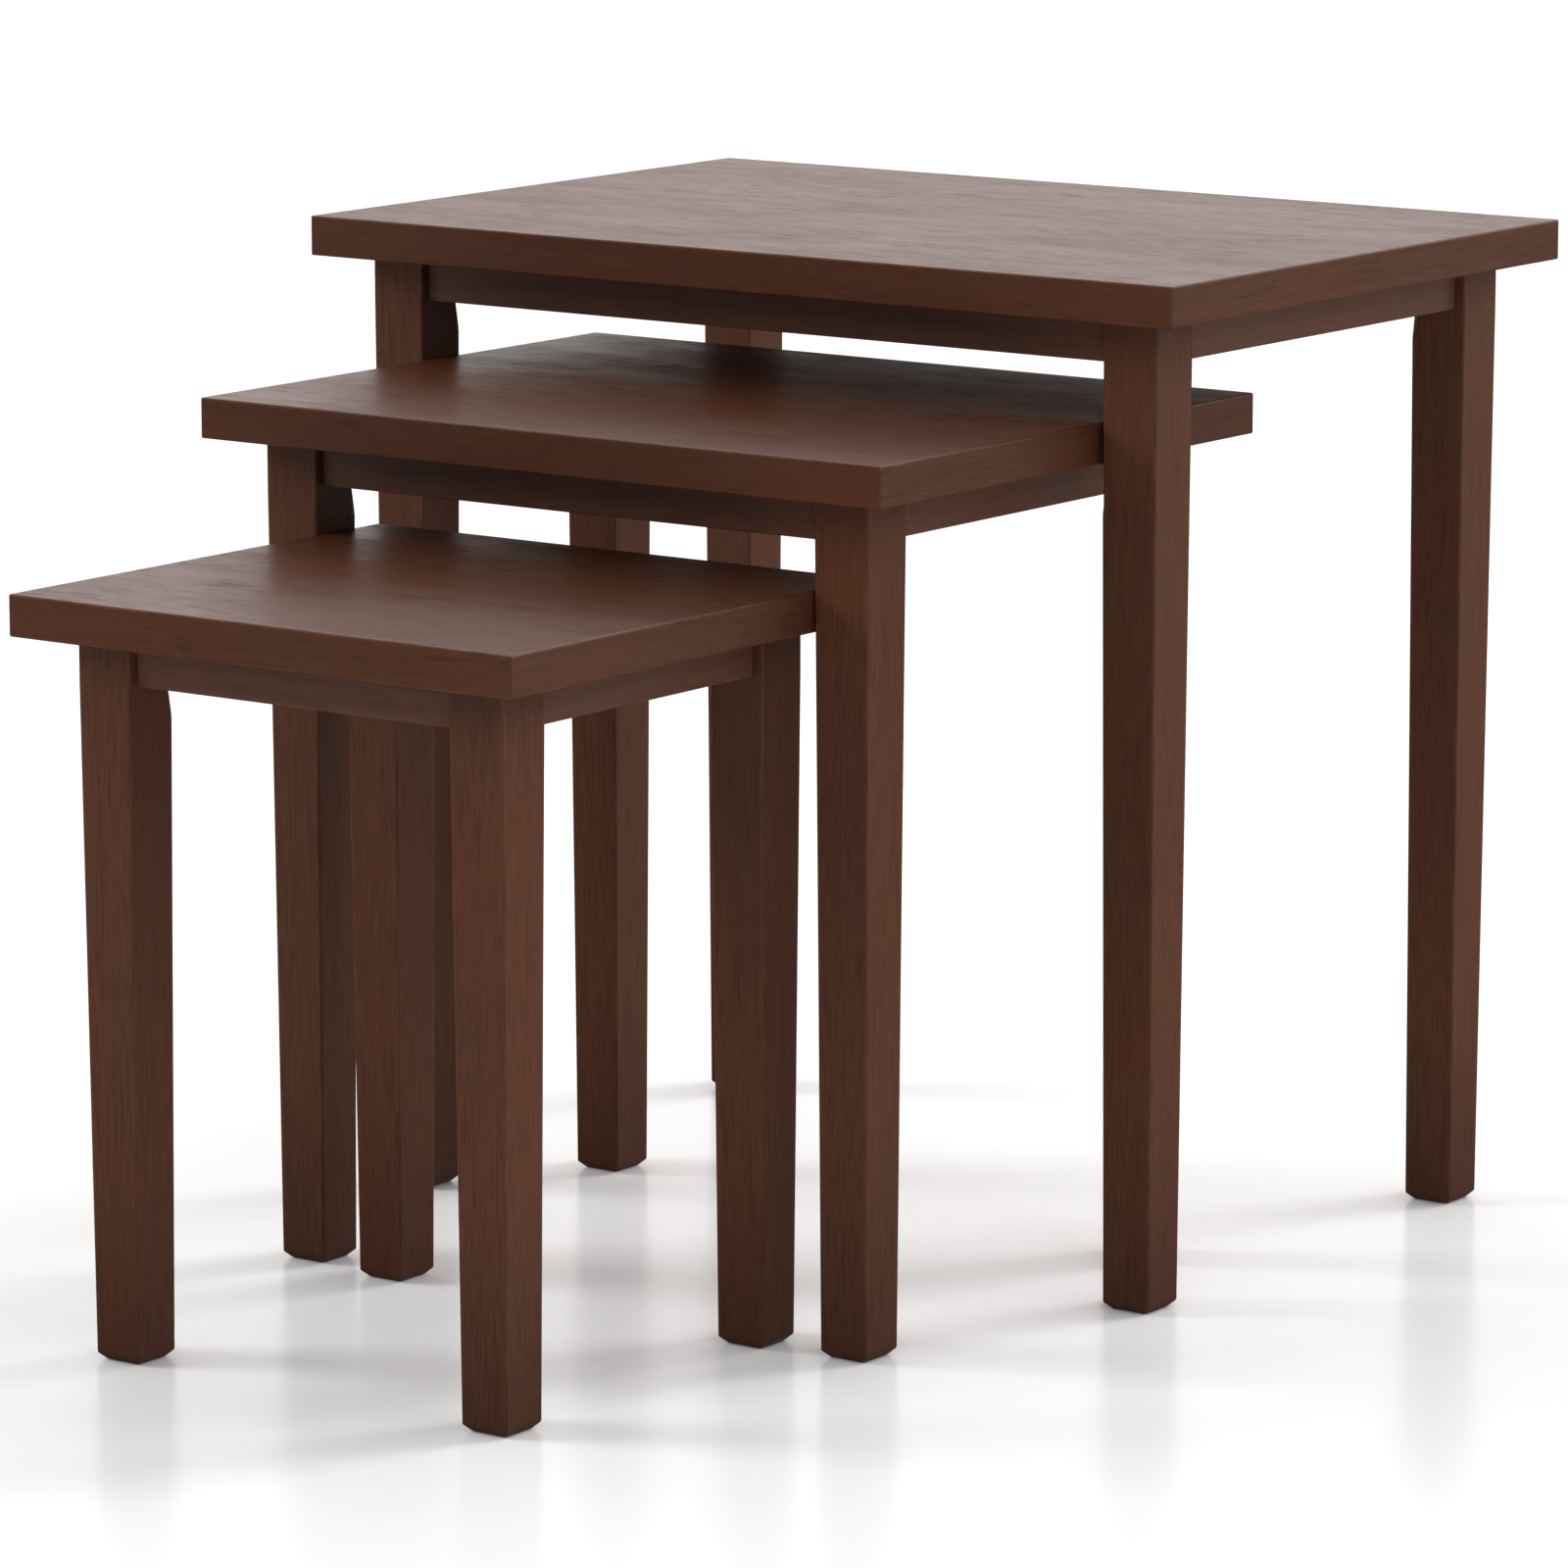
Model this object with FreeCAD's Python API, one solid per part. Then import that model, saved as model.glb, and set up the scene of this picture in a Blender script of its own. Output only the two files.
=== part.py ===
import FreeCAD, Part
import math
import os
from collections import namedtuple

# A set of three nesting tables, drawn out part way. Millimetres, +Z up, floor at z = 0.
# X runs along the long side of the tops. The smaller tables draw out towards -Y, the front.
# The origin is on the floor, in the middle of the ground that the drawn-out set covers.
# All three tables are one pattern: a top panel on four aprons and four tapered legs. A hanger
# bolt through a corner block, set at 45 degrees, pulls each leg into its corner.

# ---- driving dimensions ------------------------------------------------------------------------

# drawn is how far a table's centre stands in front of the large table's centre.
Table = namedtuple("Table", "name width depth height drawn")
LARGE = Table("large", 524.0, 359.0, 508.0, 0.0)
MEDIUM = Table("medium", 409.0, 319.0, 436.0, 176.0)
SMALL = Table("small", 298.0, 274.5, 370.0, 403.5)
TABLES = (LARGE, MEDIUM, SMALL)

TOP_THICKNESS = 20.3
TOP_EASE = 1.0              # radius on every edge of a top panel
TOP_OVERHANG = 22.7         # from a top panel's edge to the legs' outer faces

LEG_WIDTH = 31.2            # across the faces, from the top down to the aprons' lower edges
LEG_FOOT_WIDTH = 26.6       # across the faces, just above the foot chamfer
LEG_EASE = 1.2              # radius on the upright edges
FOOT_CHAMFER = 3.5

LEG_FLAT_DEPTH = 5.1        # how far the corner flat cuts in from the leg's inner corner
LEG_FLAT_SLOPE = 0.18       # how fast the flat runs out, downwards
LEG_FLAT_RUNOUT = 20.0      # from the aprons' lower edges down to the flat's end

APRON_THICKNESS = 15.0
APRON_DROP = 22.3           # height of an apron
APRON_SETBACK = 5.5         # from a leg's outer face to the apron's outer face
APRON_EASE = 0.8            # radius on an apron's lower edges

BLOCK_GAP = 3.0             # between a leg's corner flat and its corner block
BLOCK_THICKNESS = 16.0
BLOCK_HEIGHT = 20.8

THREAD_PLAY = 0.05          # radial room round a screwed-in thread
PILOT_SPARE = 1.0           # how much deeper a pilot hole is than its screw goes
BOLT_RADIUS = 3.0           # M6 hanger bolt
BOLT_IN_LEG = 25.0
BOLT_PAST_NUT = 4.0
BOLT_TIP = 0.8              # chamfer on both ends
BOLT_HOLE_RADIUS = 3.3      # clearance hole in the corner block
WASHER_RADIUS = 6.0
WASHER_THICKNESS = 1.6
NUT_ACROSS_FLATS = 10.0
NUT_HEIGHT = 5.0
NUT_CHAMFER = 0.8

SCREW_RADIUS = 2.0
SCREW_POINT = 4.0           # length of a screw's cone
SCREW_HEAD_RADIUS = 3.6
SCREW_HEAD_HEIGHT = 2.4
SCREW_HEAD_ROUND = 1.4
SCREW_RECESS_WIDTH = 0.9    # the cross in a screw's head
SCREW_RECESS_DEPTH = 1.4
SCREW_RECESS_SPAN = 4.0
COUNTERBORE_RADIUS = 4.0
TOP_SCREW_LENGTH = 32.0
TOP_SCREW_SUNK = 3.0        # from the block's underside up to the head's seat
TOP_SCREW_ASIDE = 8.0       # from the hanger bolt, along the block
BLOCK_SCREW_LENGTH = 18.0
BLOCK_SCREW_SUNK = 3.5      # from the block's back face to the head's seat, on the screw's axis
BLOCK_SCREW_OFF_LEG = 36.0  # from the leg's axis, along the apron

# ---- places worked out from them ---------------------------------------------------------------

ROOT2 = math.sqrt(2)
ORIGIN = FreeCAD.Vector(0, 0, 0)
INWARD = FreeCAD.Vector(1, 0, 0)
UP = FreeCAD.Vector(0, 0, 1)

# The ground runs from the small table's front edge to the large table's back edge.
LARGE_CENTRE_Y = (SMALL.drawn + SMALL.depth / 2 - LARGE.depth / 2) / 2

# A corner piece is made round its leg's axis, with z = 0 at the top panel's underside and +X,
# the inward way, along the diagonal into the table.
LEG_CORNER = LEG_WIDTH / 2 * ROOT2
LEG_FLAT = LEG_CORNER - LEG_FLAT_DEPTH
BLOCK_FRONT = LEG_FLAT + BLOCK_GAP
BLOCK_BACK = BLOCK_FRONT + BLOCK_THICKNESS
NUT_SEAT = BLOCK_BACK + WASHER_THICKNESS
BOLT_Z = -BLOCK_HEIGHT / 2

# Distances square to an apron, from the line through its two legs' axes.
APRON_OUTSIDE = LEG_WIDTH / 2 - APRON_SETBACK
APRON_INSIDE = APRON_THICKNESS - APRON_OUTSIDE
BLOCK_SCREW_SEAT = BLOCK_BACK * ROOT2 - BLOCK_SCREW_OFF_LEG - BLOCK_SCREW_SUNK

SIDES = (-1, 1)

# A corner's name, then the side of the table that it is on along X and along Y.
CORNERS = (
    ("front_left", -1, -1),
    ("front_right", 1, -1),
    ("back_right", 1, 1),
    ("back_left", -1, 1),
)

# An apron's name, then how far its outer face is turned from +X, in degrees.
APRONS = (("right", 0), ("back", 90), ("left", 180), ("front", 270))


def underside(table):
    """Height of the top panel's underside, where the legs, aprons and blocks end."""
    return table.height - TOP_THICKNESS


def leg_axis(table):
    """How far a leg's axis stands from the table's centre, along X and along Y."""
    inset = TOP_OVERHANG + LEG_WIDTH / 2
    return table.width / 2 - inset, table.depth / 2 - inset


def at_table(shape, table):
    """Moves a shape made round a table's axis, with z = 0 at the underside, to its place."""
    shape.translate(FreeCAD.Vector(0, LARGE_CENTRE_Y - table.drawn, underside(table)))
    return shape


def at_corner(shape, table, side_x, side_y):
    """Turns a copy of a corner piece to point into the table, and moves it to its leg."""
    x, y = leg_axis(table)
    piece = shape.copy()
    piece.rotate(ORIGIN, UP, math.degrees(math.atan2(-side_y, -side_x)))
    piece.translate(FreeCAD.Vector(side_x * x, side_y * y, 0))
    return at_table(piece, table)


def at_every_corner(shape, table):
    return Part.Compound([at_corner(shape, table, x, y) for _, x, y in CORNERS])


def prism(outline, direction):
    """A solid swept from a flat outline of points."""
    return Part.Face(Part.makePolygon(outline + outline[:1])).extrude(direction)


# ---- fasteners ---------------------------------------------------------------------------------

def screw(length, seat, direction):
    """A pan-head wood screw. seat is the middle of the head's bearing face."""
    head = Part.makeCylinder(SCREW_HEAD_RADIUS, SCREW_HEAD_HEIGHT, UP * -SCREW_HEAD_HEIGHT)
    rim = [edge for edge in head.Edges
           if edge.Closed and edge.CenterOfMass.z < -SCREW_HEAD_HEIGHT / 2]
    head = head.makeFillet(SCREW_HEAD_ROUND, rim)
    for turn in (0, 90):
        slot = Part.makeBox(SCREW_RECESS_SPAN, SCREW_RECESS_WIDTH, SCREW_RECESS_DEPTH)
        slot.translate(FreeCAD.Vector(-SCREW_RECESS_SPAN / 2, -SCREW_RECESS_WIDTH / 2,
                                      -SCREW_HEAD_HEIGHT))
        slot.rotate(ORIGIN, UP, turn)
        head = head.cut(slot)
    shank = Part.makeCylinder(SCREW_RADIUS, length - SCREW_POINT)
    point = Part.makeCone(SCREW_RADIUS, 0, SCREW_POINT, UP * (length - SCREW_POINT))
    whole = head.fuse([shank, point]).removeSplitter()
    whole.Placement = FreeCAD.Placement(seat, FreeCAD.Rotation(UP, direction))
    return whole


def top_screw_foot(side):
    """Where a top screw's axis meets the corner block's underside."""
    return FreeCAD.Vector((BLOCK_FRONT + BLOCK_BACK) / 2, side * TOP_SCREW_ASIDE, -BLOCK_HEIGHT)


def top_screws():
    """Run up through a corner block into the top panel, one on each side of the hanger bolt."""
    return Part.Compound([screw(TOP_SCREW_LENGTH, top_screw_foot(side) + UP * TOP_SCREW_SUNK, UP)
                          for side in SIDES])


def block_screw_line(side):
    """The middle of a block screw's seat and the way the screw points, into its apron."""
    inward = FreeCAD.Vector(1, side, 0) / ROOT2
    along = FreeCAD.Vector(1, -side, 0) / ROOT2
    return along * BLOCK_SCREW_OFF_LEG + inward * BLOCK_SCREW_SEAT + UP * BOLT_Z, -inward


def block_screws():
    """Run through a corner block's ends into the two aprons."""
    return Part.Compound([screw(BLOCK_SCREW_LENGTH, *block_screw_line(side)) for side in SIDES])


def hanger_bolt():
    """Screwed into the leg's corner flat, and out through the corner block to its nut."""
    start = LEG_FLAT - BOLT_IN_LEG
    end = NUT_SEAT + NUT_HEIGHT + BOLT_PAST_NUT
    bolt = Part.makeCylinder(BOLT_RADIUS, end - start, FreeCAD.Vector(start, 0, BOLT_Z), INWARD)
    return bolt.makeChamfer(BOLT_TIP, [edge for edge in bolt.Edges if edge.Closed])


def washer():
    at = FreeCAD.Vector(BLOCK_BACK, 0, BOLT_Z)
    ring = Part.makeCylinder(WASHER_RADIUS, WASHER_THICKNESS, at, INWARD)
    return ring.cut(Part.makeCylinder(BOLT_HOLE_RADIUS, WASHER_THICKNESS, at, INWARD))


def nut():
    """A hexagonal nut with its corners turned off on both faces."""
    at = FreeCAD.Vector(NUT_SEAT, 0, BOLT_Z)
    corner_radius = NUT_ACROSS_FLATS / 2 / math.cos(math.pi / 6)
    corners = []
    for i in range(6):
        angle = math.pi / 3 * i
        corners.append(at + FreeCAD.Vector(0, math.cos(angle), math.sin(angle)) * corner_radius)
    turned = Part.makeCylinder(corner_radius, NUT_HEIGHT, at, INWARD)
    turned = turned.makeChamfer(NUT_CHAMFER, [edge for edge in turned.Edges if edge.Closed])
    bore = Part.makeCylinder(BOLT_RADIUS + THREAD_PLAY, NUT_HEIGHT, at, INWARD)
    return prism(corners, INWARD * NUT_HEIGHT).common(turned).cut(bore)


# ---- wood --------------------------------------------------------------------------------------

def rounded_square(half, z):
    """Outline of a leg's section at one height, with one corner pointing inward."""
    inset = half - LEG_EASE
    corners = []
    for i in range(4):
        ahead = FreeCAD.Vector(math.cos(math.pi / 2 * i), math.sin(math.pi / 2 * i), 0)
        left = UP.cross(ahead)
        centre = (ahead + left) * inset + UP * z
        corners.append((centre + ahead * LEG_EASE,
                        centre + (ahead + left) * (LEG_EASE / ROOT2),
                        centre + left * LEG_EASE))
    edges = []
    for corner, following in zip(corners, corners[1:] + corners[:1]):
        edges.append(Part.Arc(*corner).toShape())
        edges.append(Part.LineSegment(corner[2], following[0]).toShape())
    outline = Part.Wire(edges)
    outline.rotate(ORIGIN, UP, 45)
    return outline


def leg_body(length):
    """Straight behind the aprons, then tapered down to a chamfered foot."""
    sections = (
        (LEG_WIDTH / 2, 0),
        (LEG_WIDTH / 2, -APRON_DROP),
        (LEG_FOOT_WIDTH / 2, FOOT_CHAMFER - length),
        (LEG_FOOT_WIDTH / 2 - FOOT_CHAMFER, -length),
    )
    return Part.makeLoft([rounded_square(half, z) for half, z in sections], True, True)


def leg_flat_waste():
    """What is planed off the leg's inner corner behind the aprons, running out below them."""
    end = -APRON_DROP - LEG_FLAT_RUNOUT
    full_depth = end + LEG_FLAT_DEPTH / LEG_FLAT_SLOPE
    outline = ((LEG_CORNER, end), (LEG_FLAT, full_depth), (LEG_FLAT, 0),
               (LEG_CORNER + LEG_FLAT_DEPTH, 0), (LEG_CORNER + LEG_FLAT_DEPTH, end))
    points = [FreeCAD.Vector(x, -LEG_WIDTH / 2, z) for x, z in outline]
    return prism(points, FreeCAD.Vector(0, LEG_WIDTH, 0))


def leg(table):
    pilot = Part.makeCylinder(BOLT_RADIUS + THREAD_PLAY, BOLT_IN_LEG + PILOT_SPARE,
                              FreeCAD.Vector(LEG_FLAT, 0, BOLT_Z), -INWARD)
    return leg_body(underside(table)).cut([leg_flat_waste(), pilot])


def corner_block():
    """A block whose mitred ends bear on two aprons, bored for its bolt and its screws."""
    front_reach = BLOCK_FRONT - APRON_INSIDE * ROOT2
    back_reach = BLOCK_BACK - APRON_INSIDE * ROOT2
    outline = ((BLOCK_FRONT, -front_reach), (BLOCK_BACK, -back_reach),
               (BLOCK_BACK, back_reach), (BLOCK_FRONT, front_reach))
    points = [FreeCAD.Vector(x, y, -BLOCK_HEIGHT) for x, y in outline]
    block = prism(points, UP * BLOCK_HEIGHT)

    hole = SCREW_RADIUS + THREAD_PLAY
    waste = [Part.makeCylinder(BOLT_HOLE_RADIUS, BLOCK_THICKNESS,
                               FreeCAD.Vector(BLOCK_FRONT, 0, BOLT_Z), INWARD)]
    for side in SIDES:
        foot = top_screw_foot(side)
        waste.append(Part.makeCylinder(hole, BLOCK_HEIGHT, foot))
        waste.append(Part.makeCylinder(COUNTERBORE_RADIUS, TOP_SCREW_SUNK, foot))
        seat, direction = block_screw_line(side)
        waste.append(Part.makeCylinder(hole, BLOCK_SCREW_SEAT, seat, direction))
        waste.append(Part.makeCylinder(COUNTERBORE_RADIUS, BLOCK_THICKNESS, seat, -direction))
    return block.cut(waste)


def top_panel(table):
    panel = Part.makeBox(table.width, table.depth, TOP_THICKNESS,
                         FreeCAD.Vector(-table.width / 2, -table.depth / 2, 0))
    panel = at_table(panel.makeFillet(TOP_EASE, panel.Edges), table)
    depth = TOP_SCREW_LENGTH + TOP_SCREW_SUNK - BLOCK_HEIGHT + PILOT_SPARE
    for side in SIDES:
        mouth = top_screw_foot(side) + UP * BLOCK_HEIGHT
        pilot = Part.makeCylinder(SCREW_RADIUS + THREAD_PLAY, depth, mouth)
        panel = panel.cut(at_every_corner(pilot, table).Solids)
    return panel


def apron(table, turn):
    """A rail butted between two legs, with blind pilot holes for the block screws."""
    out, along = leg_axis(table)
    if turn % 180:
        out, along = along, out
    half_span = along - LEG_WIDTH / 2
    rail = Part.makeBox(APRON_THICKNESS, 2 * half_span, APRON_DROP,
                        FreeCAD.Vector(out - APRON_INSIDE, -half_span, -APRON_DROP))
    lower_edges = [edge for edge in rail.Edges
                   if edge.Length > APRON_DROP and edge.CenterOfMass.z < -APRON_DROP / 2]
    rail = rail.makeFillet(APRON_EASE, lower_edges)
    depth = BLOCK_SCREW_LENGTH - BLOCK_SCREW_SEAT + APRON_INSIDE + PILOT_SPARE
    for side in SIDES:
        mouth = FreeCAD.Vector(out - APRON_INSIDE, side * (along - BLOCK_SCREW_OFF_LEG), BOLT_Z)
        rail = rail.cut(Part.makeCylinder(SCREW_RADIUS + THREAD_PLAY, depth, mouth, INWARD))
    rail.rotate(ORIGIN, UP, turn)
    return at_table(rail, table)


# ---- the set -----------------------------------------------------------------------------------

def pieces(table):
    """Every piece of one table, as pairs of node name and shape."""
    yield "top_panel", top_panel(table)
    for side, turn in APRONS:
        yield f"apron_{side}", apron(table, turn)
    for corner, side_x, side_y in CORNERS:
        yield f"leg_{corner}", at_corner(leg(table), table, side_x, side_y)
        yield f"corner_block_{corner}", at_corner(corner_block(), table, side_x, side_y)
    yield "hanger_bolts", at_every_corner(hanger_bolt(), table)
    yield "washers", at_every_corner(washer(), table)
    yield "nuts", at_every_corner(nut(), table)
    yield "top_screws", at_every_corner(top_screws(), table)
    yield "block_screws", at_every_corner(block_screws(), table)


def main():
    os.makedirs("parts", exist_ok=True)
    for table in TABLES:
        for name, shape in pieces(table):
            shape.exportStep(f"parts/{table.name}_{name}.step")
            print(table.name, name, len(shape.Solids), "solids", round(shape.Volume), "mm3")


main()
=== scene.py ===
import math

import bpy
from mathutils import Matrix, Vector


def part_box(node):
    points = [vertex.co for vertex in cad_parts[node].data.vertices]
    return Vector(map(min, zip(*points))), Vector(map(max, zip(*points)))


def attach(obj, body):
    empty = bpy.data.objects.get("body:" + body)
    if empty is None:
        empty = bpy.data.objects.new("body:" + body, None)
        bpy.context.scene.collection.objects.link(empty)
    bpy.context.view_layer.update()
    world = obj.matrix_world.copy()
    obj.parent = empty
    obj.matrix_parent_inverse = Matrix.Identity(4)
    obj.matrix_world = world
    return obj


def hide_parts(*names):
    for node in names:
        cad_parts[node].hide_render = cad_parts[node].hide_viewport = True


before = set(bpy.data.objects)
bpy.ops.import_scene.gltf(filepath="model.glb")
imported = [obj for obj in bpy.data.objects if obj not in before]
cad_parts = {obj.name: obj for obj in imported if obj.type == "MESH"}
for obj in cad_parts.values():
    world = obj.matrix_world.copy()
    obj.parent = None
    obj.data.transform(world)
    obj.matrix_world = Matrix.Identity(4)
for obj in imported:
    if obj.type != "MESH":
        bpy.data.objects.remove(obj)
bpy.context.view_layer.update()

# Looks of a set of three nesting tables: dark brown stained wood with a satin lacquer, on a
# glossy white studio floor. Metres, in the frame's own axes: X along the tops' long side,
# -Y the front, +Z up. Every board is built here with eased edges and its own grain direction.

MM = 0.001
QUARTER = math.radians(90)
UP = Vector((0, 0, 1))
TABLES = ("large", "medium", "small")
CORNERS = {"front_left": (-1, -1), "front_right": (1, -1),
           "back_right": (1, 1), "back_left": (-1, 1)}

# ---- sizes of the details ------------------------------------------------------------------------

TOP_EASE = 1.0 * MM
APRON_EASE = 0.8 * MM
EDGE_STEPS = 4                # facets round an eased edge
WEAR_REACH = 2.0 * MM         # how far the worn look runs in from an edge
SHARP_ANGLE = math.radians(35)

LEG_WIDTH = 31.2 * MM
LEG_FOOT_WIDTH = 26.6 * MM
LEG_EASE = 1.2 * MM
FOOT_CHAMFER = 3.5 * MM
FOOT_EASE = 0.35 * MM
LEG_FLAT_DEPTH = 5.1 * MM     # cut off the inner corner, measured along its diagonal
LEG_FLAT_SLOPE = 0.18         # how steeply the flat runs out below the apron
LEG_FLAT_RUNOUT = 20.0 * MM
LEG_FLAT_OUT = LEG_WIDTH / math.sqrt(2) - LEG_FLAT_DEPTH    # the flat, from the leg's axis

BOLT_RADIUS = 3.0 * MM
BOLT_IN_LEG = 25.0 * MM
BOLT_OUT_OF_LEG = 29.6 * MM
BOLT_TIP = 0.8 * MM
THREAD_PITCH = 1.0 * MM
THREAD_DEPTH = 0.55 * MM
THREAD_HIDDEN = 20.0 * MM     # the stretch inside the leg, left plain
THREAD_SIDES = 20
THREAD_STEPS = 6              # rings to one turn of the thread

# ---- meshes --------------------------------------------------------------------------------------


def grain_frame(centre, grain):
    """A placement at centre whose own X runs along the grain."""
    x = Vector(grain)
    y = UP.cross(x) if abs(x.z) < 0.5 else Vector((0, 1, 0))
    z = x.cross(y)
    return Matrix.Translation(centre) @ Matrix((x, y, z)).transposed().to_4x4()


def make_piece(name, vertices, faces, centre, grain, wear=None):
    """A smooth-shaded mesh given in the frame's axes, then turned so its own X is the grain."""
    mesh = bpy.data.meshes.new(name)
    mesh.from_pydata(vertices, [], faces)
    mesh.validate()
    if wear is not None:
        attribute = mesh.attributes.new("wear", "FLOAT", "POINT")
        attribute.data.foreach_set("value", wear)
    placement = grain_frame(centre, grain)
    mesh.transform(placement.inverted())
    mesh.shade_smooth()
    mesh.set_sharp_from_angle(angle=SHARP_ANGLE)
    piece = bpy.data.objects.new(name, mesh)
    bpy.context.scene.collection.objects.link(piece)
    piece.matrix_world = placement
    flatten = piece.modifiers.new("flat_faces", "WEIGHTED_NORMAL")
    flatten.keep_sharp = True
    return piece


def board_lines(half, ease):
    """Grid lines across a board from edge to edge, close together at the eased edges."""
    steps = EDGE_STEPS // 2
    eased = [half - ease + ease * math.tan(QUARTER / 2 * i / steps) for i in range(steps + 1)]
    outer = [half - WEAR_REACH] + eased
    return [-v for v in reversed(outer)] + outer


def board(name, low, high, ease, grain):
    """A board with all its edges rounded, as a grid wrapped over a rounded box."""
    centre = (low + high) / 2
    half = (high - low) / 2
    lines = [board_lines(h, ease) for h in half]
    inner = [h - ease for h in half]
    index, vertices, wear, faces = {}, [], [], []

    def vertex(key):
        if key not in index:
            index[key] = len(vertices)
            p = Vector([lines[a][key[a]] for a in range(3)])
            core = Vector([max(-inner[a], min(inner[a], p[a])) for a in range(3)])
            vertices.append(centre + core + (p - core).normalized() * ease)
            at_edge = sum(abs(p[a]) > half[a] - WEAR_REACH + ease / 10 for a in range(3))
            wear.append(1.0 if at_edge >= 2 else 0.0)
        return index[key]

    for axis in range(3):
        u, v = (axis + 1) % 3, (axis + 2) % 3
        for side in (0, len(lines[axis]) - 1):
            for i in range(len(lines[u]) - 1):
                for j in range(len(lines[v]) - 1):
                    ring = []
                    for di, dj in ((0, 0), (1, 0), (1, 1), (0, 1)):
                        key = [0, 0, 0]
                        key[axis], key[u], key[v] = side, i + di, j + dj
                        ring.append(vertex(tuple(key)))
                    faces.append(ring if side else ring[::-1])
    return make_piece(name, vertices, faces, centre, grain, wear)


def leg_outline(half, inner_corner, flat_depth):
    """One level of a leg: its outline points and how worn each is. The inner corner is cut."""
    points, wear = [], []
    for quarter in range(4):
        ahead = Vector((math.cos(QUARTER * quarter), math.sin(QUARTER * quarter), 0))
        left = UP.cross(ahead)
        corner = ahead + left
        cut = (round(corner.x), round(corner.y)) == inner_corner and flat_depth > 0
        cut_back = half - flat_depth * math.sqrt(2)
        cut_start = ahead * half + left * cut_back
        cut_end = left * half + ahead * cut_back
        points.append(ahead * half + left * (half - WEAR_REACH * 2))
        wear.append(0.0)
        for i in range(EDGE_STEPS + 1):
            turn = QUARTER * i / EDGE_STEPS
            rounded = (corner * (half - LEG_EASE)
                       + (ahead * math.cos(turn) + left * math.sin(turn)) * LEG_EASE)
            points.append(cut_start.lerp(cut_end, i / EDGE_STEPS) if cut else rounded)
            wear.append(1.0)
        points.append(left * half + ahead * (half - WEAR_REACH * 2))
        wear.append(0.0)
    return points, wear


def leg_levels(top, straight_end, foot):
    """A leg's levels from the top down, as (height, half width, depth of the flat, wear)."""
    chamfer_top = foot + FOOT_CHAMFER
    foot_half = LEG_FOOT_WIDTH / 2

    def half_at(z):
        share = max(0.0, (straight_end - z) / (straight_end - chamfer_top))
        return (LEG_WIDTH + (LEG_FOOT_WIDTH - LEG_WIDTH) * share) / 2

    eased_depth = LEG_EASE * (1 - 1 / math.sqrt(2))     # what the easing takes off a corner
    runout = straight_end - LEG_FLAT_RUNOUT
    full_flat = runout + LEG_FLAT_DEPTH / LEG_FLAT_SLOPE
    flat_starts = runout + 2 * eased_depth / LEG_FLAT_SLOPE
    below_flat = runout + eased_depth / LEG_FLAT_SLOPE
    unworn = chamfer_top + WEAR_REACH
    return [(top, half_at(top), LEG_FLAT_DEPTH, 0.0),
            (full_flat, half_at(full_flat), LEG_FLAT_DEPTH, 0.0),
            (straight_end, half_at(straight_end), LEG_FLAT_RUNOUT * LEG_FLAT_SLOPE, 0.0),
            (flat_starts, half_at(flat_starts), 2 * eased_depth, 0.0),
            (below_flat, half_at(runout), 0.0, 0.0),
            (unworn, half_at(unworn), 0.0, 0.0),
            (chamfer_top + FOOT_EASE, foot_half, 0.0, 1.0),
            (chamfer_top - FOOT_EASE, foot_half - FOOT_EASE, 0.0, 1.0),
            (foot + FOOT_EASE, foot_half - FOOT_CHAMFER + FOOT_EASE, 0.0, 1.0),
            (foot, foot_half - FOOT_CHAMFER - FOOT_EASE, 0.0, 1.0)]


def leg(name, low, high, drop, corner):
    """A leg: straight behind the aprons, tapered below, with its foot chamfered."""
    axis = (low + high) / 2
    axis.z = 0
    inner_corner = (-corner[0], -corner[1])
    levels = leg_levels(high.z, high.z - drop, low.z)
    vertices, wear, faces = [], [], []
    for z, half, flat_depth, level_wear in levels:
        points, point_wear = leg_outline(half, inner_corner, flat_depth)
        vertices += [axis + p + UP * z for p in points]
        wear += [max(level_wear, w) for w in point_wear]
    count = len(vertices) // len(levels)
    for i in range(len(levels) - 1):
        for j in range(count):
            a, b = i * count + j, i * count + (j + 1) % count
            faces.append((b, a, a + count, b + count))
    faces.append(tuple(range(count)))
    faces.append(tuple(reversed(range(len(vertices) - count, len(vertices)))))
    return make_piece(name, vertices, faces, axis, UP, wear)


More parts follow.
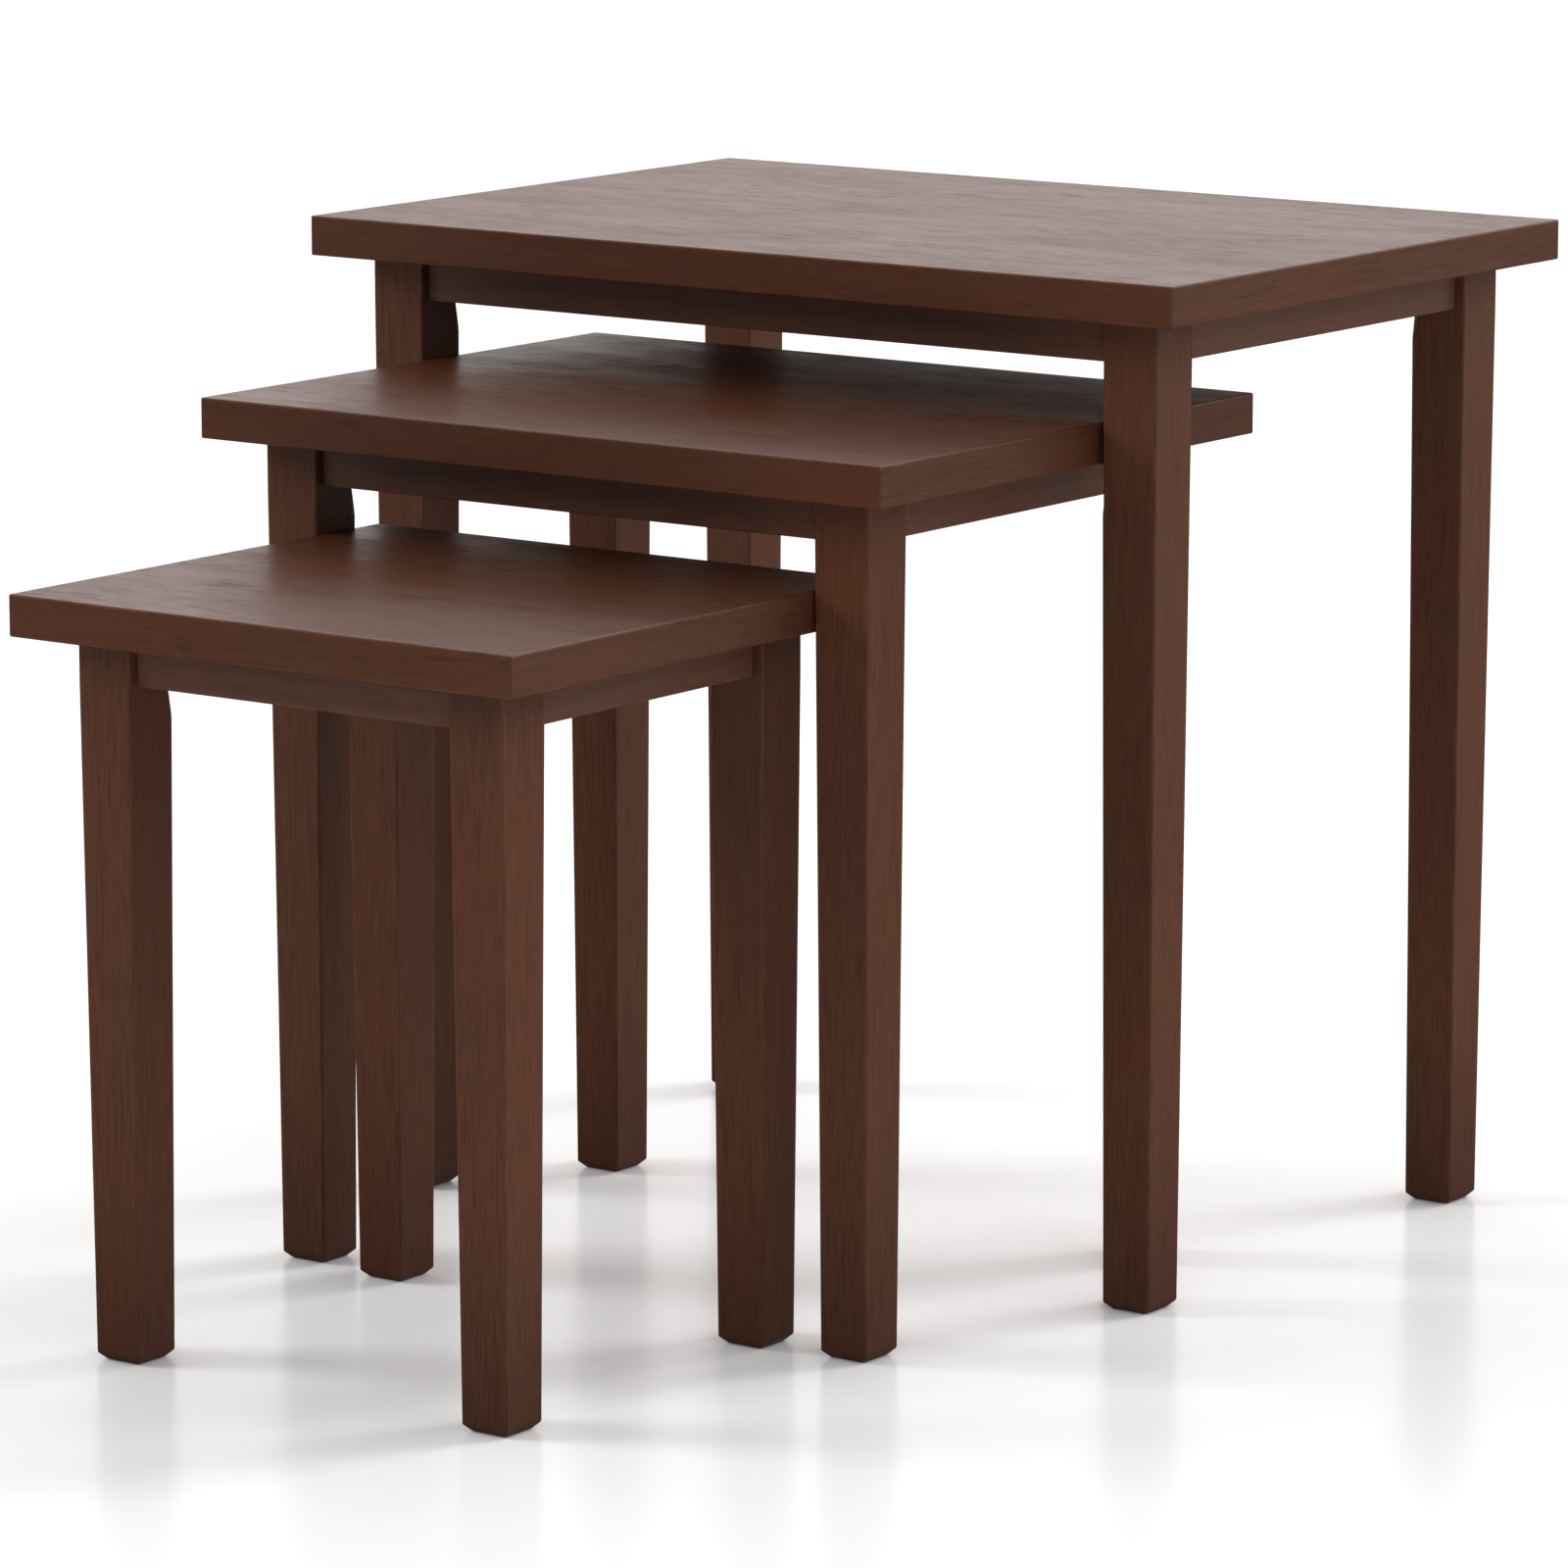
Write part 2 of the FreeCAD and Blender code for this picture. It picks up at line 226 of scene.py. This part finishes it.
def threaded_rods(name, rods, grain):
    """The hanger bolts of a table, threaded where they can be seen, as (start, end) points."""
    vertices, faces = [], []
    for start, end in rods:
        along = (end - start).normalized()
        across = UP.cross(along)
        length = (end - start).length
        threaded = length - THREAD_HIDDEN
        steps = round(threaded / THREAD_PITCH * THREAD_STEPS)
        places = [0.0, BOLT_TIP] + [THREAD_HIDDEN + threaded * i / steps for i in range(steps + 1)]
        first = len(vertices)
        for place in places:
            to_end = min(place, length - place)
            for j in range(THREAD_SIDES):
                turn = j / THREAD_SIDES
                phase = (place / THREAD_PITCH - turn) % 1.0
                cut = THREAD_DEPTH * abs(2 * phase - 1) if place >= THREAD_HIDDEN else 0.0
                radius = BOLT_RADIUS - max(cut, BOLT_TIP - to_end)
                out = across * math.cos(math.tau * turn) + UP * math.sin(math.tau * turn)
                vertices.append(start + along * place + out * radius)
        for i in range(len(places) - 1):
            for j in range(THREAD_SIDES):
                a = first + i * THREAD_SIDES + j
                b = first + i * THREAD_SIDES + (j + 1) % THREAD_SIDES
                faces.append((a, b, b + THREAD_SIDES, a + THREAD_SIDES))
        last = len(vertices) - THREAD_SIDES
        faces.append(tuple(reversed(range(first, first + THREAD_SIDES))))
        faces.append(tuple(range(last, last + THREAD_SIDES)))
    centre = sum((start for start, _ in rods), Vector()) / len(rods)
    return make_piece(name, vertices, faces, centre, grain)


# ---- materials -----------------------------------------------------------------------------------

STAIN = (0.095, 0.0342, 0.0166)
TOP_STAIN = (0.097, 0.0320, 0.0147)
# The aprons' colour: the stain made lighter and greyer than the rest, as painted light and a
# painted neutral sheen on the recessed aprons.
APRON_STAIN_AND_SHEEN = (0.133, 0.0580, 0.0360)
LEG_STAIN = (0.112, 0.0405, 0.0200)
# The dark of the open grain and flecks; also the colour of the painted shade at the legs' feet.
DEEP_STAIN_AND_SHADE = (0.030, 0.0115, 0.0058, 1)
RUBBED = (0.19, 0.082, 0.042, 1)
COOLER = (0.96, 1.02, 1.05, 1)
WARMER = (1.04, 0.98, 0.95, 1)

# How long and how wide the wood's features are, in metres along the grain and across it.
CLOUD_SIZE = (0.12, 0.05, 0.05)
BAND_SIZE = (0.14, 0.006, 0.006)
GRAIN_SIZE = (0.020, 0.00062, 0.00062)
GRAIN_PATCH_SIZE = (0.06, 0.008, 0.008)
FLECK_SIZE = (0.017, 0.0028, 0.0028)
FLECK_PATCH_SIZE = (0.07, 0.02, 0.02)
RUBBED_SIZE = (0.025, 0.006, 0.006)
SMEAR_SIZE = (0.10, 0.03, 0.03)

# How strong they are at most.
BAND_SWING = 0.09
GRAIN_STAIN = 0.58
FLECK_STAIN = 0.55
EDGE_RUBBED = 0.20
# Painted shade near the floor: how much the legs darken at their feet.
PAINTED_FOOT_SHADE = 0.52
FOOT_REACH = 150.0 * MM       # how far up a leg the painted shade near the floor reaches
GLOSS_SWING = 0.04
GRAIN_DULLS = 0.18
GRAIN_DEPTH = 0.12 * MM
BOARD_SHIFT = (3.1, 5.7, 4.3)     # sets the boards' patterns apart from each other
LACQUER_IOR = 1.45

STEEL_CLOUD = 4.0 * MM
STEEL_GRIT = 0.4 * MM
STEEL_GRIT_DEPTH = 0.03 * MM
STEEL_DULL = 0.62
STEEL_GLOSS_SWING = 0.12

FLOOR_CLOUD = 0.9
FLOOR_WHITE = (0.95, 0.95, 0.95, 1)
FLOOR_IOR = 1.2


class Nodes:
    """A node tree, with short calls for the nodes used below."""

    def __init__(self, tree):
        self.tree = tree

    def feed(self, socket, value):
        if isinstance(value, bpy.types.NodeSocket):
            self.tree.links.new(value, socket)
        else:
            socket.default_value = value

    def add(self, kind, inputs, **settings):
        node = self.tree.nodes.new(kind)
        for key, value in settings.items():
            setattr(node, key, value)
        for key, value in inputs.items():
            self.feed(node.inputs[key], value)
        return node

    def calc(self, operation, a, b, clamp=False):
        return self.add("ShaderNodeMath", {0: a, 1: b},
                        operation=operation, use_clamp=clamp).outputs[0]

    def vector(self, operation, a, b):
        return self.add("ShaderNodeVectorMath", {0: a, 1: b}, operation=operation).outputs[0]

    def noise(self, place, sizes, detail, roughness, distortion=0.0):
        """Noise whose features have the given sizes along the three axes."""
        scaled = self.vector("DIVIDE", place, sizes)
        return self.add("ShaderNodeTexNoise",
                        {"Vector": scaled, "Scale": 1.0, "Detail": detail,
                         "Roughness": roughness, "Distortion": distortion}).outputs["Fac"]

    def ramp(self, value, low, high, to_low=0.0, to_high=1.0):
        return self.add("ShaderNodeMapRange",
                        {"Value": value, "From Min": low, "From Max": high, "To Min": to_low,
                         "To Max": to_high}, interpolation_type="SMOOTHSTEP").outputs["Result"]

    def mix(self, factor, a, b, blend="MIX"):
        return self.add("ShaderNodeMix", {0: factor, 6: a, 7: b},
                        data_type="RGBA", blend_type=blend).outputs[2]


def shade(colour, factor):
    """A colour made darker or lighter, as four values."""
    return tuple(v * factor for v in colour) + (1,)


def new_material(name):
    material = bpy.data.materials.new(name)
    material.use_nodes = True
    return material, Nodes(material.node_tree), material.node_tree.nodes["Principled BSDF"].inputs


def wood(name, turn=(0, 0, 0), stain=STAIN, lines=1.0, figure=1.0, flecks=0.3, rough=0.345,
         wear=True, foot=False):
    """Stained open-grained wood with a satin lacquer. Grain runs along the piece's own X.

    lines, figure and flecks say how strongly the fine open grain, the broad bands and the
    short dark flecks show. foot adds painted shade, darker towards the foot of a leg.
    """
    material, n, surface = new_material(name)
    own_place = n.add("ShaderNodeTexCoord", {}).outputs["Object"]
    place = n.add("ShaderNodeMapping", {"Vector": own_place, "Rotation": turn}).outputs[0]
    own = n.add("ShaderNodeObjectInfo", {}).outputs["Random"]
    place = n.vector("ADD", place, n.vector("MULTIPLY", own, BOARD_SHIFT))

    cloud = n.noise(place, CLOUD_SIZE, 2.0, 0.5)
    bands = n.noise(place, BAND_SIZE, 2.0, 0.5, 0.3)
    grain = n.noise(place, GRAIN_SIZE, 1.0, 0.4)
    grain_here = n.ramp(n.noise(place, GRAIN_PATCH_SIZE, 1.0, 0.5), 0.30, 0.65, 0.6, 1.0)
    flecked = n.noise(place, FLECK_SIZE, 3.0, 0.6)
    flecks_here = n.ramp(n.noise(place, FLECK_PATCH_SIZE, 2.0, 0.5), 0.36, 0.62, 0.25, 1.0)

    colour = n.mix(n.ramp(bands, 0.30, 0.70),
                   shade(stain, 1 - BAND_SWING * figure), shade(stain, 1 + BAND_SWING * figure))
    colour = n.mix(1.0, colour, n.mix(n.ramp(cloud, 0.34, 0.66), COOLER, WARMER), "MULTIPLY")
    line = n.calc("MULTIPLY", n.ramp(grain, 0.56, 0.38), grain_here)
    colour = n.mix(n.calc("MULTIPLY", line, GRAIN_STAIN * lines), colour, DEEP_STAIN_AND_SHADE)
    fleck = n.calc("MULTIPLY", n.ramp(flecked, 0.50, 0.66), flecks_here)
    colour = n.mix(n.calc("MULTIPLY", fleck, FLECK_STAIN * flecks), colour, DEEP_STAIN_AND_SHADE)

    if wear:
        edge = n.add("ShaderNodeAttribute", {}, attribute_name="wear").outputs["Fac"]
        patches = n.ramp(n.noise(place, RUBBED_SIZE, 3.0, 0.6), 0.40, 0.66)
        rubbed = n.calc("MULTIPLY", n.calc("POWER", edge, 3.0), patches)
        colour = n.mix(n.calc("MULTIPLY", rubbed, EDGE_RUBBED), colour, RUBBED)

    # Painted shade: a leg darkens towards its foot, standing in for the shade near the floor.
    if foot:
        up = n.add("ShaderNodeSeparateXYZ", {0: own_place}).outputs["X"]
        uneven = n.calc("ADD", up, n.calc("MULTIPLY", grain, FOOT_REACH * 0.3))
        foot_shade = n.ramp(uneven, 0.0, FOOT_REACH, 1.0, 0.0)
        colour = n.mix(n.calc("MULTIPLY", foot_shade, PAINTED_FOOT_SHADE), colour, DEEP_STAIN_AND_SHADE)

    open_grain = n.calc("ADD", n.calc("MULTIPLY", fleck, 0.8 * flecks),
                        n.calc("MULTIPLY", line, 0.5 * lines), clamp=True)
    smears = n.ramp(n.noise(place, SMEAR_SIZE, 4.0, 0.65),
                    0.3, 0.7, rough - GLOSS_SWING, rough + GLOSS_SWING)
    dulled = n.calc("ADD", smears, n.calc("MULTIPLY", open_grain, GRAIN_DULLS), clamp=True)
    bump = n.add("ShaderNodeBump", {"Height": n.calc("SUBTRACT", 1.0, open_grain),
                                    "Strength": 0.5, "Distance": GRAIN_DEPTH})
    n.feed(surface["Base Color"], colour)
    n.feed(surface["Roughness"], dulled)
    n.feed(surface["Normal"], bump.outputs[0])
    surface["IOR"].default_value = LACQUER_IOR
    return material


def plated_steel(name, tint, rough):
    """Zinc plating: bright, slightly cloudy, finely pitted."""
    material, n, surface = new_material(name)
    place = n.add("ShaderNodeTexCoord", {}).outputs["Object"]
    cloud = n.noise(place, (STEEL_CLOUD,) * 3, 3.0, 0.6)
    grit = n.noise(place, (STEEL_GRIT,) * 3, 2.0, 0.5)
    bump = n.add("ShaderNodeBump",
                 {"Height": grit, "Strength": 0.2, "Distance": STEEL_GRIT_DEPTH})
    n.feed(surface["Base Color"],
           n.mix(n.ramp(cloud, 0.3, 0.7), shade(tint, STEEL_DULL), shade(tint, 1.0)))
    n.feed(surface["Roughness"], n.ramp(cloud, 0.3, 0.7, rough + STEEL_GLOSS_SWING, rough))
    n.feed(surface["Normal"], bump.outputs[0])
    surface["Metallic"].default_value = 1.0
    return material


def glossy_white():
    """The floor: smooth white paint, a little cloudy in its gloss."""
    material, n, surface = new_material("studio_floor")
    place = n.add("ShaderNodeTexCoord", {}).outputs["Object"]
    cloud = n.noise(place, (FLOOR_CLOUD,) * 3, 2.0, 0.5)
    n.feed(surface["Roughness"], n.ramp(cloud, 0.3, 0.7, 0.19, 0.22))
    surface["Base Color"].default_value = FLOOR_WHITE
    surface["IOR"].default_value = FLOOR_IOR
    return material


TOP_WOOD = wood("top_wood", stain=TOP_STAIN, lines=0.4, figure=0.7, flecks=0.85)
EDGE_ALONG_WOOD = wood("top_edge_wood", lines=0.35, figure=0.5, flecks=0.5)
EDGE_ACROSS_WOOD = wood("top_end_wood", (0, 0, QUARTER), lines=0.45, figure=0.6, flecks=0.6)
# The aprons' lighter, greyer colour is painted light and painted sheen.
APRON_WOOD = wood("apron_wood", stain=APRON_STAIN_AND_SHEEN, lines=0.25, figure=0.6, flecks=0.35)
# The legs carry painted shade that darkens them towards their feet.
LEG_WOOD = wood("leg_wood", stain=LEG_STAIN, lines=0.65, figure=0.3, flecks=0.1, foot=True)
BLOCK_WOODS = {side: wood(f"block_wood_{letter}", (0, 0, side * QUARTER / 2), lines=0.6,
                          flecks=0.6, rough=0.55, wear=False)
               for side, letter in ((1, "a"), (-1, "b"))}
BOLT_STEEL = plated_steel("bolt_steel", (0.62, 0.63, 0.62), 0.28)
SCREW_STEEL = plated_steel("screw_steel", (0.60, 0.47, 0.24), 0.30)

# ---- the tables ----------------------------------------------------------------------------------


def dress(piece, material, body, slot, *nodes):
    """Gives a new piece its material and body, and lets it stand for its CAD nodes."""
    piece.data.materials.append(material)
    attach(piece, body)
    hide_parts(*nodes)


def repaint(node, material):
    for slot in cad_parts[node].material_slots:
        slot.material = material


def build_top(table):
    node = f"{table}_top_panel"
    low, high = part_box(node)
    piece = board(f"{table}_top", low, high, TOP_EASE, (1, 0, 0))
    dress(piece, TOP_WOOD, f"{table}_table", "top_wood", node)
    piece.data.materials.append(EDGE_ALONG_WOOD)
    piece.data.materials.append(EDGE_ACROSS_WOOD)
    for face in piece.data.polygons:
        facing = [abs(v) for v in face.normal]
        face.material_index = 2 - facing.index(max(facing))    # Z the face, Y and X the edges


def build_aprons(table):
    for side, grain in (("front", (1, 0, 0)), ("back", (1, 0, 0)),
                        ("left", (0, 1, 0)), ("right", (0, 1, 0))):
        node = f"{table}_apron_{side}"
        low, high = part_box(node)
        piece = board(f"{table}_{side}_apron", low, high, APRON_EASE, grain)
        dress(piece, APRON_WOOD, f"{table}_table", "apron_wood", node)


def build_legs(table):
    low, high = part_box(f"{table}_apron_front")
    drop = high.z - low.z
    for corner, sides in CORNERS.items():
        node = f"{table}_leg_{corner}"
        piece = leg(f"{table}_{corner}_leg", *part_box(node), drop, sides)
        dress(piece, LEG_WOOD, f"{table}_table", "leg_wood", node)


def build_bolts(table):
    node = f"{table}_hanger_bolts"
    low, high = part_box(node)
    rods = []
    for corner, sides in CORNERS.items():
        leg_low, leg_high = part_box(f"{table}_leg_{corner}")
        axis = (leg_low + leg_high) / 2
        axis.z = (low.z + high.z) / 2
        inward = Vector((-sides[0], -sides[1], 0)).normalized()
        rods.append((axis + inward * (LEG_FLAT_OUT - BOLT_IN_LEG),
                     axis + inward * (LEG_FLAT_OUT + BOLT_OUT_OF_LEG)))
    piece = threaded_rods(f"{table}_threaded_bolts", rods, (1, 0, 0))
    dress(piece, BOLT_STEEL, f"{table}_table", "bolt_steel", node)


def repaint_the_rest(table):
    for corner, sides in CORNERS.items():
        repaint(f"{table}_corner_block_{corner}", BLOCK_WOODS[sides[0] * sides[1]])
    for node, material in (("washers", BOLT_STEEL), ("nuts", BOLT_STEEL),
                           ("top_screws", SCREW_STEEL), ("block_screws", SCREW_STEEL)):
        repaint(f"{table}_{node}", material)


for table in TABLES:
    build_top(table)
    build_aprons(table)
    build_legs(table)
    build_bolts(table)
    repaint_the_rest(table)

# ---- studio --------------------------------------------------------------------------------------

FLOOR_HALF = 40.0
WORLD_BACK = (0.15, 0.99, 0.0)    # the brightest way, behind the set
WORLD_LEVEL = 0.70
WORLD_SWING = 0.58
WORLD_RISE = 0.3
WORLD_DIM = 0.1
WORLD_DIM_BELOW = -0.06
WORLD_BRIGHT_ABOVE = 0.16
WORLD_WHITE = (1.0, 1.0, 1.0, 1.0)
WORLD_WARM = (1.0, 0.95, 0.915, 1.0)
LIGHT_SPREAD = math.radians(26.0)
LIGHT_DISTANCE = 3.0
LIGHT_ELEVATION = math.radians(25.0)
RIGHT_LIGHT = (math.radians(62.0), 1.40)     # azimuth and strength
LEFT_LIGHT = (math.radians(-150.0), 1.50)
VIEW_AZIMUTH = math.radians(36.012)
VIEW_ELEVATION = math.radians(10.501)
VIEW_DISTANCE = 3.85
VIEW_AIM = Vector((-0.0047, 0.0577, 0.2328))
VIEW_LENS = 175.8
VIEW_SENSOR = 36.0


def direction(azimuth, elevation):
    """A unit vector; azimuth turns from +X towards +Y."""
    return Vector((math.cos(azimuth) * math.cos(elevation),
                   math.sin(azimuth) * math.cos(elevation), math.sin(elevation)))


def build_floor():
    mesh = bpy.data.meshes.new("studio_floor")
    h = FLOOR_HALF
    mesh.from_pydata([(-h, -h, 0), (h, -h, 0), (h, h, 0), (-h, h, 0)], [], [(0, 1, 2, 3)])
    floor = bpy.data.objects.new("studio_floor", mesh)
    bpy.context.scene.collection.objects.link(floor)
    floor.data.materials.append(glossy_white())
    floor.visible_glossy = False


def build_camera():
    data = bpy.data.cameras.new("camera")
    data.lens = VIEW_LENS
    data.sensor_width = VIEW_SENSOR
    camera = bpy.data.objects.new("camera", data)
    bpy.context.scene.collection.objects.link(camera)
    back = direction(VIEW_AZIMUTH - QUARTER, VIEW_ELEVATION)
    camera.location = VIEW_AIM + back * VIEW_DISTANCE
    camera.rotation_euler = back.to_track_quat("Z", "Y").to_euler()
    bpy.context.scene.camera = camera


def build_light(name, azimuth, strength):
    """A broad, even light from far away, as from a large softbox; it leaves no glare."""
    data = bpy.data.lights.new(name, "SUN")
    data.angle = LIGHT_SPREAD
    data.energy = strength
    light = bpy.data.objects.new(name, data)
    bpy.context.scene.collection.objects.link(light)
    away = direction(azimuth, LIGHT_ELEVATION)
    light.location = VIEW_AIM + away * LIGHT_DISTANCE
    light.rotation_euler = away.to_track_quat("Z", "Y").to_euler()
    light.visible_camera = False
    light.visible_glossy = False


def build_world():
    """White surroundings: brighter above, brighter and warmer behind, dim below the horizon."""
    world = bpy.data.worlds.new("studio")
    world.use_nodes = True
    n = Nodes(world.node_tree)
    towards = n.add("ShaderNodeTexCoord", {}).outputs["Generated"]
    up = n.add("ShaderNodeSeparateXYZ", {0: towards}).outputs["Z"]
    behind = n.add("ShaderNodeVectorMath", {0: towards, 1: WORLD_BACK},
                   operation="DOT_PRODUCT").outputs["Value"]
    level = n.calc("ADD", WORLD_LEVEL, n.calc("MULTIPLY", behind, WORLD_SWING))
    level = n.calc("ADD", level, n.calc("MULTIPLY", up, WORLD_RISE))
    level = n.calc("MULTIPLY", level, n.ramp(up, WORLD_DIM_BELOW, WORLD_BRIGHT_ABOVE, WORLD_DIM))
    warm = n.calc("MULTIPLY", n.ramp(behind, 0.1, 0.7), n.ramp(up, 0.55, 0.2))
    background = world.node_tree.nodes["Background"].inputs
    n.feed(background["Color"], n.mix(warm, WORLD_WHITE, WORLD_WARM))
    n.feed(background["Strength"], level)
    bpy.context.scene.world = world
    bpy.context.scene.view_settings.view_transform = "Standard"


build_floor()
build_camera()
build_world()
build_light("right_light", *RIGHT_LIGHT)
build_light("left_light", *LEFT_LIGHT)
